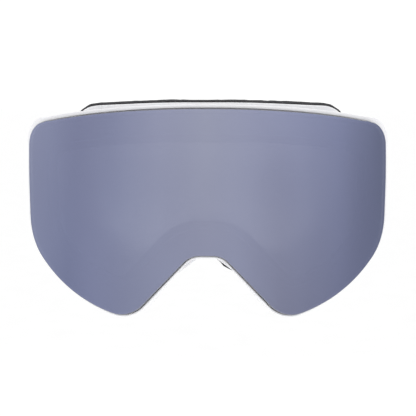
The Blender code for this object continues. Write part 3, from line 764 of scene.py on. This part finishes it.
def magnet_places():
    """The middle and the direction of each magnet, on the outline of the lens."""
    edge = outline(LENS, 1)
    count = len(edge)
    for i in list(MAGNET_POINTS) + [count - i for i in MAGNET_POINTS]:
        direction = edge[(i + 1) % count] - edge[i - 1]
        yield edge[i] + inward(direction) * MAGNET_INSET, direction


def pockets(start, end):
    """Cutters for the pockets of the magnets, between two depths."""
    room = Vector((MAGNET.x + 2 * GAP, end - start, MAGNET.z + 2 * GAP))
    return [
        bent_box(f"pocket_{number}", place, direction, room, start, None)
        for number, (place, direction) in enumerate(magnet_places())
    ]


def build_magnets(kind, body):
    for number, (place, direction) in enumerate(magnet_places(), 1):
        name = f"{kind}_bar_{number}"
        bar = bent_box(name, place, direction, MAGNET, MAGNET_DEPTHS[kind], PLATED, 0.25 * MM)
        settle(bar, body, "magnet", f"{kind}_magnet_{number}")


CARRIER_DEPTHS = (1.7 * MM, 3.9 * MM)
CARRIER_INSETS = (0.5 * MM, 12.8 * MM)
GASKET_DEPTHS = (1.7 * MM, 4.7 * MM)
GASKET_INSETS = (13.2 * MM, 16.8 * MM)


def build_panes():
    edge = shield_outline(LENS_EDGE)
    shield = pane("lens_shield", edge, 0.0, LENS_THICKNESS, EDGE_ROUND, [MIRROR, EDGE, BACK])
    settle(shield, "lens", "mirror_lens", "outer_lens")
    edge = outline(inset_corners(LENS, INNER_LENS_INSET))
    size = (INNER_LENS_DEPTH, INNER_LENS_THICKNESS, INNER_EDGE_ROUND)
    clear = pane("lens_clear", edge, *size, [CLEAR, EDGE, CLEAR])
    settle(clear, "lens", "clear_lens", "inner_lens")


def build_carrier():
    """The ring bonded behind the mirrored sheet, with pockets for its magnets."""
    outer = inset(lowered(LENS_EDGE, BROW_DROP), CARRIER_INSETS[0])
    inner = outline(inset_corners(LENS, CARRIER_INSETS[1]))
    steps = [mix_loops(outer, inner, k / 4) for k in range(5)]
    front, back = CARRIER_DEPTHS
    loops = [bent_loop(loop, front) for loop in steps]
    loops += [bent_loop(loop, back) for loop in steps[::-1]]
    carrier = bevel(ring("carrier_ring", loops, [PLASTIC]), 0.35 * MM)
    cut(carrier, pockets(MAGNET_DEPTHS["lens"] - GAP, back + MM))
    settle(carrier, "lens", "black_plastic", "lens_carrier")


def build_gasket():
    """The foam between the two lenses."""
    outer, inner = (outline(inset_corners(LENS, d)) for d in GASKET_INSETS)
    front, back = GASKET_DEPTHS
    section = ((outer, front), (inner, front), (inner, back), (outer, back))
    loops = [bent_loop(loop, depth) for loop, depth in section]
    gasket = bevel(ring("spacer_gasket", loops, [FOAM_GREY]), 0.5 * MM)
    settle(apply_modifiers(gasket), "lens", "dark_foam", "lens_spacer_foam")


def build_lens():
    build_panes()
    build_carrier()
    build_gasket()
    build_magnets("lens", "lens")


# ---------------------------------------------------------------- the frame

RIM_OVERHANG = 1.0 * MM
RIM_STRETCH = 0.03
RIM_RISE = (-40 * MM, -8 * MM)
RIM_WALL = 1.8 * MM
RIM_CORNER = Vector((97, 39)) * MM
RIM_CORNER_REACH = 14 * MM
RIM_SWELL = 0.8 * MM
RIM_FLARE = 0.4 * MM  # the front lip stands out a little further than the wall behind it
RIM_FLARE_DEPTH = 2.2 * MM
OPENING_INSET = 13.0 * MM
SEAT_DEPTHS = (4.2 * MM, 7.2 * MM)
RIM_DEPTHS = (2.4 * MM, 15 * MM)


def rim_outline(edge):
    """The outer edge of the frame, which stands out further at the temples and the top corners."""
    wide = inset(edge, -RIM_OVERHANG)
    for side in (-1, 1):
        wide = swollen(wide, Vector((side * RIM_CORNER.x, RIM_CORNER.y)), RIM_CORNER_REACH, RIM_SWELL)
    return [Vector((p.x * (1 + RIM_STRETCH * rise(p.y, RIM_RISE)), p.y)) for p in wide]


def build_frame():
    opening = outline(inset_corners(LENS, OPENING_INSET))
    lip = inset(lowered(LENS_EDGE, BROW_DROP), -GAP / 2)
    rim = rim_outline(LENS_EDGE)
    wall = inset(rim, RIM_WALL)
    seat, underside = SEAT_DEPTHS
    top, rear = RIM_DEPTHS
    loops = [bent_loop(mix_loops(opening, lip, k / 4), seat) for k in range(5)]
    loops += [bent_loop(lip, top), bent_loop(inset(rim, -RIM_FLARE), top)]
    loops += [bent_loop(rim, top + RIM_FLARE_DEPTH)]
    loops += [bent_loop(rim, top + (rear - top) * k / 3) for k in (1, 2, 3)]
    loops += [bent_loop(wall, rear), bent_loop(wall, underside)]
    loops += [bent_loop(mix_loops(wall, opening, k / 3), underside) for k in (1, 2, 3)]
    shell = bevel(ring("frame_shell", loops, [SHELL]), 0.55 * MM, 4)
    cut(shell, pockets(seat - 2 * MM, MAGNET_DEPTHS["frame"] + MAGNET.y + GAP))
    settle(shell, "frame", "white_shell", "front_frame")
    build_magnets("frame", "frame")


# ---------------------------------------------------------------- the skirt and the foam

SKIRT_INSETS = (3.2 * MM, 5.2 * MM)
SKIRT_DEPTH = 11 * MM
SKIRT_FOOT_INSETS = (3.6 * MM, 5.6 * MM)
FLANGE_BACKS = (-20.2 * MM, -18.1 * MM)
FOAM_REVEAL = 0.5 * MM
REVEAL_RISE = (10 * MM, 40 * MM)
VENT = Vector((13, 5, 16)) * MM
TOP_VENTS = [x * MM for x in (-54, -36, -18, 0, 18, 36, 54)]
CHEEK_VENTS = [x * MM for x in (39, 55)]
VENT_FOAM = 1.8 * MM
VENT_FOAM_GAP = 0.9 * MM
TOP_FOAM_POINTS = 8
CHEEK_FOAM_POINTS = (24, 31)
FOAM_LAYERS = {
    "face_foam_base": (-17.8 * MM, -7.9 * MM),
    "face_foam_comfort": (-7.6 * MM, -2.1 * MM),
    "face_fleece": (-1.8 * MM, 0.0),
}


def skirt_lines(offset=0.0, thickness=None):
    """The outer and inner lines of the skirt's wall, front and foot, or of a layer inside it."""
    wall = SKIRT_INSETS[1] - SKIRT_INSETS[0] if thickness is None else thickness
    near, foot = SKIRT_INSETS[0] + offset, SKIRT_FOOT_INSETS[0] + offset
    return (
        bent_loop(inset(LENS_EDGE, near), SKIRT_DEPTH),
        bent_loop(inset(LENS_EDGE, near), RIM_DEPTHS[1] + 0.5 * MM),
        faced_loop(inset(FOAM_EDGE, foot), FLANGE_BACKS[0]),
        faced_loop(inset(FOAM_EDGE, foot + wall), FLANGE_BACKS[0]),
        bent_loop(inset(LENS_EDGE, near + wall), RIM_DEPTHS[1] + 0.5 * MM),
        bent_loop(inset(LENS_EDGE, near + wall), SKIRT_DEPTH),
    )


def vent_place(line_front, line_foot, x):
    """The middle of the skirt's wall at x, on the side of the given lines, and its slope in plan."""
    pairs = [(a + b) / 2 for a, b in zip(line_front, line_foot)]
    i = min(range(len(pairs)), key=lambda k: abs(pairs[k].x - x))
    along = pairs[(i + 1) % len(pairs)] - pairs[i - 1]
    return pairs[i], atan2(along.y, along.x)


def vent_cutter(name, place, slope):
    """A rounded slot, cut straight up through the wall."""
    half = VENT / 2
    turn = Matrix.Rotation(slope, 2)
    points = []
    for side in (1, -1):
        for k in range(9):
            a = pi / 2 - pi * k / 8
            p = Vector((half.x - half.y + half.y * cos(a), half.y * sin(a))) * side
            points.append(turn @ p + place.xy)
    return prism(name, points, place.z - half.z, place.z + half.z)


def flange_edge():
    """The outer edge of the flange, which leaves some of the foam in sight at the brow."""
    inner = inset(FOAM_EDGE, FOAM_REVEAL)
    return [p.lerp(q, rise(p.y, REVEAL_RISE)) for p, q in zip(FOAM_EDGE, inner)]


def build_skirt():
    lines = skirt_lines()
    front, back = FLANGE_BACKS
    edge = flange_edge()
    flange_middle = mix_loops(inset(FOAM_EDGE, SKIRT_FOOT_INSETS[1]), EYE_EDGE)
    loops = [
        *lines[:2],
        *[mix_loops(lines[1], lines[2], k / 4) for k in (1, 2, 3)],
        lines[2],
        faced_loop(edge, front),
        faced_loop(edge, back),
        faced_loop(mix_loops(edge, EYE_EDGE), back),
        faced_loop(EYE_EDGE, back),
        faced_loop(EYE_EDGE, front),
        faced_loop(flange_middle, front),
        lines[3],
        *[mix_loops(lines[3], lines[4], k / 4) for k in (1, 2, 3)],
        *lines[4:],
    ]
    skirt = apply_modifiers(bevel(ring("skirt_shell", loops, [SOFT_SHELL]), 0.6 * MM, 4))
    upper = len(LENS_EDGE) // 4
    front_half, foot_half = (line[:upper] + line[-upper:] for line in lines[1:3])
    cutters = []
    for number, x in enumerate(TOP_VENTS):
        cutters.append(vent_cutter(f"top_vent_{number}", *vent_place(front_half, foot_half, x)))
    low = slice(CHEEK_FOAM_POINTS[0] * FINE, CHEEK_FOAM_POINTS[1] * FINE)
    for number, x in enumerate(CHEEK_VENTS):
        place, slope = vent_place(lines[1][low], lines[2][low], x)
        cutters.append(vent_cutter(f"right_vent_{number}", place, slope))
        cutters.append(vent_cutter(f"left_vent_{number}", Vector((-place.x, place.y, place.z)), -slope))
    settle(cut(skirt, cutters), "frame", "white_shell", "face_skirt")


SAG_PLACE = Vector((9.3, -28.0)) * MM  # the foam overhangs slightly on one side of the nose
SAG_REACH = 5.5 * MM
SAG = 0.8 * MM


def strip(name, lines, materials):
    """A strip with flat ends, whose cross section runs through the given lines."""
    bm = bmesh.new()
    rows = [[bm.verts.new(p) for p in line] for line in lines]
    for row, following in zip(rows, rows[1:] + rows[:1]):
        for i in range(len(row) - 1):
            bm.faces.new((row[i], row[i + 1], following[i + 1], following[i]))
    bm.faces.new([row[0] for row in rows])
    bm.faces.new([row[-1] for row in rows])
    return add_object(name, bm, materials)


def build_vent_foam():
    lines = skirt_lines(SKIRT_INSETS[1] - SKIRT_INSETS[0] + VENT_FOAM_GAP, VENT_FOAM)
    lines = [lines[1], mix_loops(lines[1], lines[2], 0.9), mix_loops(lines[4], lines[3], 0.9), lines[4]]
    count = len(LENS_EDGE)
    top = TOP_FOAM_POINTS * FINE
    first, last = (i * FINE for i in CHEEK_FOAM_POINTS)
    parts = {
        "vent_foam_top": [i % count for i in range(-top, top + 1)],
        "vent_foam_cheek_left": [count - i for i in range(first, last + 1)],
        "vent_foam_cheek_right": list(range(first, last + 1)),
    }
    for node, places in parts.items():
        foam = strip(f"{node}_pad", [[line[i] for i in places] for line in lines], [VENT_MESH])
        bevel(foam, 0.3 * MM, 2)
        settle(apply_modifiers(foam), "frame", "dark_foam", node)


def roughen(obj, *waves):
    """The surface pushed in and out by noise: each wave is (size, height)."""
    mesh = obj.data
    moves = []
    for vertex in mesh.vertices:
        push = sum(noise.noise(vertex.co / size) * height for size, height in waves)
        moves.append(vertex.co + vertex.normal * push)
    mesh.vertices.foreach_set("co", [c for move in moves for c in move])
    mesh.update()
    return obj


def foam_ring(name, backs, bulge, rounding, material):
    """A layer of foam on the face curve, with rounded edges and sides that swell a little."""
    outer, inner = swollen(FOAM_EDGE, SAG_PLACE, SAG_REACH, SAG), EYE_EDGE
    front, back = backs
    half = (back - front) / 2
    across = 14
    side = []
    for k in range(9):
        a = pi * k / 8
        lift = rounding * (1 - sin(a)) - bulge * sin(a)
        side.append((lift, (front + back) / 2 - half * cos(a)))
    loops = [faced_loop(inset(outer, lift), level) for lift, level in side]
    outer_back, inner_back = inset(outer, rounding), inset(inner, -rounding)
    loops += [faced_loop(mix_loops(outer_back, inner_back, k / across), back) for k in range(1, across)]
    loops += [faced_loop(inset(inner, -lift), level) for lift, level in side[::-1]]
    loops += [faced_loop(mix_loops(inner_back, outer_back, k / across), front) for k in range(1, across)]
    return ring(name, loops, [material], 60)


def build_foam():
    layers = {
        "face_foam_base": ("foam_base_layer", 0.35, 0.5, FOAM_BLACK, "dark_foam", (0.0035, 0.00022)),
        "face_foam_comfort": ("foam_comfort_layer", 0.5, 0.7, FOAM_GREY, "dark_foam", (0.003, 0.0002)),
        "face_fleece": ("fleece_layer", 0.2, 0.9, FLEECE, "fleece", (0.002, 0.00018)),
    }
    for node, (name, bulge, rounding, material, slot, grain) in layers.items():
        layer = foam_ring(name, FOAM_LAYERS[node], bulge * MM, rounding * MM, material)
        roughen(layer, grain, (0.02, 0.00025))
        settle(layer, "frame", slot, node)


# ---------------------------------------------------------------- the sides

STRAP_Z = (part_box("strap_left")[0].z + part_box("strap_left")[1].z) / 2
STRAP_THICKNESS = 1.5 * MM
PIN_X = 83 * MM
BAR_Y = 33 * MM
WRAP_RADIUS = 2.95 * MM
RUN_X = 84.9 * MM
RUN_YS = (45 * MM, 104 * MM)
BACK_Y = 184 * MM
BACK_X = 22 * MM
CLIP_BAR_X = 15 * MM
FOLD_LENGTH = 22 * MM
RETURN_X = 82.95 * MM
RETURN_YS = (42 * MM, 62 * MM)  # two places along the return layer
SLIDER_Y = 66 * MM
SLIDER_BAR = 3 * MM
GRIP_HEIGHTS = (-9 * MM, 9 * MM)
GRIP = Vector((0.6, 4)) * MM
BAND_ROWS = 16
WAVE = 1.1 * MM  # how far a bead of silicone swings up and down
WAVE_LENGTH = 11 * MM
STITCH_ROWS = (-17, -11.3, -5.7, 0, 5.7, 11.3, 17)  # heights from the middle of the webbing, in mm
STITCH_RADIUS = 0.28 * MM
STITCH_LIFT = 0.25 * MM
SEAM_XS = (BACK_X + 3 * MM, BACK_X + 21 * MM)
STRAP_STEP = 1.2 * MM


def arc(centre, radius, start, end, count):
    """Points on a circle, between two angles in degrees."""
    turns = [(start + (end - start) * k / count) * pi / 180 for k in range(count + 1)]
    return [Vector((centre[0] + radius * cos(a), centre[1] + radius * sin(a))) for a in turns]


def head_curve(count=42):
    """The strap's middle from the end of the straight run to the flat back of the head."""
    across, deep = RUN_X - BACK_X, BACK_Y - RUN_YS[1]
    turns = [pi / 2 * k / count for k in range(count + 1)]
    return [Vector((BACK_X + across * cos(a), RUN_YS[1] + deep * sin(a))) for a in turns]


def leftward(line):
    """The normal on the left of an open line, at each of its points."""
    ends = zip(line[:1] + line, line[1:] + line[-1:])
    return [Vector((a.y - b.y, b.x - a.x)).normalized() for a, b in ends]


def beside(line, distance):
    """A line beside another, on its left when the distance is positive."""
    return [p + normal * distance for p, normal in zip(line, leftward(line))]


def cut_to(line, length):
    """The first stretch of a line, of the given length."""
    kept = [line[0]]
    for a, b in zip(line, line[1:]):
        step = (b - a).length
        if step >= length:
            return kept + [a.lerp(b, length / step)]
        kept.append(b)
        length -= step
    return kept


def lengths_along(line):
    """The length of a line up to each of its points."""
    lengths = [0.0]
    for a, b in zip(line, line[1:]):
        lengths.append(lengths[-1] + (b - a).length)
    return lengths


def resampled(line, step):
    """The same line with points an even distance apart."""
    lengths = lengths_along(line)
    return stepped(line, lengths, max(2, round(lengths[-1] / step)))


def eased(line, rounds):
    """The line with its corners softened."""
    for _ in range(rounds):
        middle = [(a + b * 2 + c) / 4 for a, b, c in zip(line, line[1:], line[2:])]
        line = [line[0]] + middle + [line[-1]]
    return line


def strap_line():
    """The middle of the webbing: round the outrigger's bar, past the head, and round the clip's bar."""
    front_wrap = arc((PIN_X, BAR_Y), WRAP_RADIUS, 180, 360, 16)
    stub = [Vector((PIN_X - WRAP_RADIUS, BAR_Y + 3 * MM))]
    run = [Vector((RUN_X, RUN_YS[0]))]
    back = head_curve()
    clip_bar = Vector((CLIP_BAR_X, BACK_Y - WRAP_RADIUS))
    back_wrap = arc(clip_bar, WRAP_RADIUS, 90, 270, 16)
    fold_start = [Vector((CLIP_BAR_X + 7.6 * MM, BACK_Y - 1.25 * STRAP_THICKNESS - GAP))]
    fold = beside(back[::-1], STRAP_THICKNESS + GAP)
    fold = cut_to([p for p in fold if p.x > CLIP_BAR_X + 9 * MM], FOLD_LENGTH)
    return stub + front_wrap + run + back + back_wrap + fold_start + fold


def band_section(width, thickness):
    """The cross section of webbing: (thickness, height) places, thinner at the two edges."""
    side = []
    for k in range(BAND_ROWS + 1):
        height = -0.5 + k / BAND_ROWS
        edge = min(1.0, (0.5 - abs(height)) * width / (0.6 * thickness) + 0.25)
        side.append((thickness / 2 * edge, height * width))
    return side + [(-t, h) for t, h in side[::-1]]


def band(name, line, side, material, size=(STRAP_THICKNESS, STRAP_WIDTH), middle=STRAP_Z, wave=0.0):
    """Webbing: a line in plan with a thickness, standing on edge, and a map along and across it."""
    thickness, width = size
    line = [Vector((p.x * side, p.y)) for p in line]
    section = band_section(width, thickness)
    bm = bmesh.new()
    layer = bm.loops.layers.uv.new("band")
    along = lengths_along(line)
    columns = []
    for p, normal, length in zip(line, leftward(line), along):
        lift = wave * sin(length / WAVE_LENGTH * 2 * pi)
        places = [(*(p + normal * t), middle + h + lift) for t, h in section]
        columns.append([bm.verts.new(place) for place in places])
    count = len(section)
    for i in range(len(columns) - 1):
        for k in range(count):
            n = (k + 1) % count
            face = bm.faces.new((columns[i][k], columns[i][n], columns[i + 1][n], columns[i + 1][k]))
            spots = ((i, k), (i, n), (i + 1, n), (i + 1, k))
            for loop, (at, up) in zip(face.loops, spots):
                loop[layer].uv = (along[at], section[up][1] + width / 2)
    bm.faces.new(columns[0])
    bm.faces.new(columns[-1])
    return add_object(name, bm, [material], 50)


def stitches(name, line, side, heights, body):
    """Rows of short stitches through the folded webbing, as small raised loops."""
    bm = bmesh.new()
    line = [Vector((p.x * side, p.y)) for p in line]
    for height in heights:
        for a, b in zip(line, line[1:]):
            direction = (b - a).normalized()
            normal = Vector((-direction.y, direction.x)) * side
            for k in range(4):
                lift = (k in (1, 2)) * STITCH_LIFT
                p = a.lerp(b, 0.08 + 0.84 * k / 3) + normal * lift
                centre = Vector((p.x, p.y, STRAP_Z + height))
                if k:
                    add_tube(bm, last, centre, STITCH_RADIUS)
                last = centre
    obj = add_object(name, bm, [THREAD], 60)
    return settle(obj, body, "webbing")


def add_tube(bm, start, end, radius, sides=6):
    """A short closed tube between two points."""
    direction = (end - start).normalized()
    first = direction.cross(Vector((0, 0, 1))).normalized()
    second = direction.cross(first)
    rings = []
    for place in (start, end):
        turns = [2 * pi * k / sides for k in range(sides)]
        points = [place + first * (radius * cos(a)) + second * (radius * sin(a)) for a in turns]
        rings.append([bm.verts.new(p) for p in points])
    skin(bm, *rings)
    bm.faces.new(rings[0][::-1])
    bm.faces.new(rings[1])


def build_return(side, word):
    """The return layer of the webbing, which runs back to the slider."""
    back_end = Vector((RETURN_X, SLIDER_Y - SLIDER_BAR / 2 - GAP))
    start = Vector((PIN_X - WRAP_RADIUS, BAR_Y + 3 * MM + GAP))
    bend = Vector((RETURN_X, RUN_YS[0] + 5 * MM))
    inner = [start, start.lerp(bend, 0.15) + Vector((0, 1 * MM)), bend, back_end]
    inner = eased(resampled(inner, STRAP_STEP), 4)
    layer = band(f"webbing_return_{word}", inner, side, WEBBING)
    fixed, moving = ((RETURN_X * side, y, STRAP_Z) for y in RETURN_YS)
    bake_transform(layer)
    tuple(fixed)
    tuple(moving)
    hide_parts(f"strap_return_{word}")


def build_grips(side, word, body):
    """Two wavy lines of silicone on the inside of the webbing, sunk into it a little."""
    shift = STRAP_THICKNESS / 2 + GAP + GRIP.x / 2 - 0.25 * MM
    line = resampled(beside(head_curve()[3:-9], shift), 0.8 * MM)
    size = (GRIP.x, GRIP.y * 0.6)
    for number, height in enumerate(GRIP_HEIGHTS, 1):
        name = f"grip_bead_{word}_{number}"
        bead = band(name, line, side, SILICONE, size, STRAP_Z + height, WAVE)
        settle(bead, body, "silicone", f"grip_line_{word}_{number}")


def build_strap(side, word, clip_node):
    body = f"strap_{word}"
    full = eased(resampled(strap_line(), STRAP_STEP), 3)
    settle(band(f"webbing_{word}", full, side, WEBBING), body, "webbing", f"strap_{word}")
    build_return(side, word)
    build_grips(side, word, body)

    fold = [p for p in head_curve() if SEAM_XS[0] < p.x < SEAM_XS[1]]
    seam = resampled(beside(fold, -STRAP_THICKNESS / 2 - 0.05 * MM), 2.4 * MM)
    stitches(f"stitching_{word}", seam, side, [h * MM for h in STITCH_ROWS], body)
    build_moulded(f"{clip_node}_shell", clip_node, body, 0.45 * MM)
    build_moulded(f"slider_shell_{word}", f"strap_slider_{word}", f"slider_{word}", 0.4 * MM)


def build_moulded(name, node, body, width):
    refined(name, node, PLASTIC, body, "black_plastic", width)


def build_temple(word):
    build_moulded(f"bracket_shell_{word}", f"temple_bracket_{word}", "frame", 0.35 * MM)
    refined(f"pin_steel_{word}", f"outrigger_pin_{word}", STEEL, "frame", "steel", 0.25 * MM)
    build_moulded(f"outrigger_shell_{word}", f"outrigger_{word}", f"outrigger_{word}", 0.45 * MM)


# ---------------------------------------------------------------- studio

FLOOR_Z = -0.40
FLOOR_SIZE = 30.0
SKY_STRENGTH = 1.12
ZENITH = 0.72  # the brightness overhead, as a part of that at the horizon
LIGHTS = (
    ("key_light", (-0.5, -0.7, 1.1), 0.9, 2.0),
    ("fill_light", (0.7, -0.4, 1.0), 0.9, 1.2),
    ("rear_light", (0.2, 1.1, 0.9), 0.9, 3.0),
)


def build_sky():
    """A pale studio, white all round and dimmer overhead."""
    world = bpy.data.worlds.new("studio")
    world.use_nodes = True
    bpy.context.scene.world = world
    sky = Tree(world.node_tree)
    split = sky.add("ShaderNodeSeparateXYZ", {0: sky.add("ShaderNodeTexCoord").outputs["Generated"]})
    colour = sky.mix(sky.share(split.outputs["Z"], 0.05, 0.5), (1, 1, 1, 1), (ZENITH, ZENITH, ZENITH, 1))
    background = sky.tree.nodes["Background"]
    sky.tree.links.new(colour, background.inputs["Color"])
    background.inputs["Strength"].default_value = SKY_STRENGTH


def build_studio():
    bm = bmesh.new()
    bmesh.ops.create_grid(bm, x_segments=8, y_segments=8, size=FLOOR_SIZE / 2)
    bmesh.ops.translate(bm, verts=bm.verts, vec=(0, 0, FLOOR_Z))
    mesh = bpy.data.meshes.new("floor")
    bm.to_mesh(mesh)
    bm.free()
    mesh.materials.append(floor_material())
    linked("floor", mesh)
    build_sky()
    for name, place, size, power in LIGHTS:
        data = bpy.data.lights.new(name, "AREA")
        data.size = size
        data.energy = power
        light = linked(name, data)
        light.location = place
        light.rotation_euler = (-Vector(place)).to_track_quat("-Z", "Y").to_euler()


def build_camera():
    data = bpy.data.cameras.new("camera")
    data.lens = CAMERA_LENS
    data.clip_start = 0.01
    camera = linked("camera", data)
    a, e = CAMERA_AZIMUTH, CAMERA_ELEVATION
    back = Vector((sin(a) * cos(e), -cos(a) * cos(e), sin(e)))
    camera.location = CAMERA_AIM + back * CAMERA_DISTANCE
    camera.rotation_euler = (-back).to_track_quat("-Z", "Y").to_euler()
    bpy.context.scene.camera = camera


build_camera()
build_studio()
bpy.context.scene.view_settings.view_transform = "Standard"
build_lens()
build_frame()
build_skirt()
build_vent_foam()
build_foam()
for side, word, clip_node in ((-1, "left", "clip_hook"), (1, "right", "clip_catch")):
    build_temple(word)
    build_strap(side, word, clip_node)
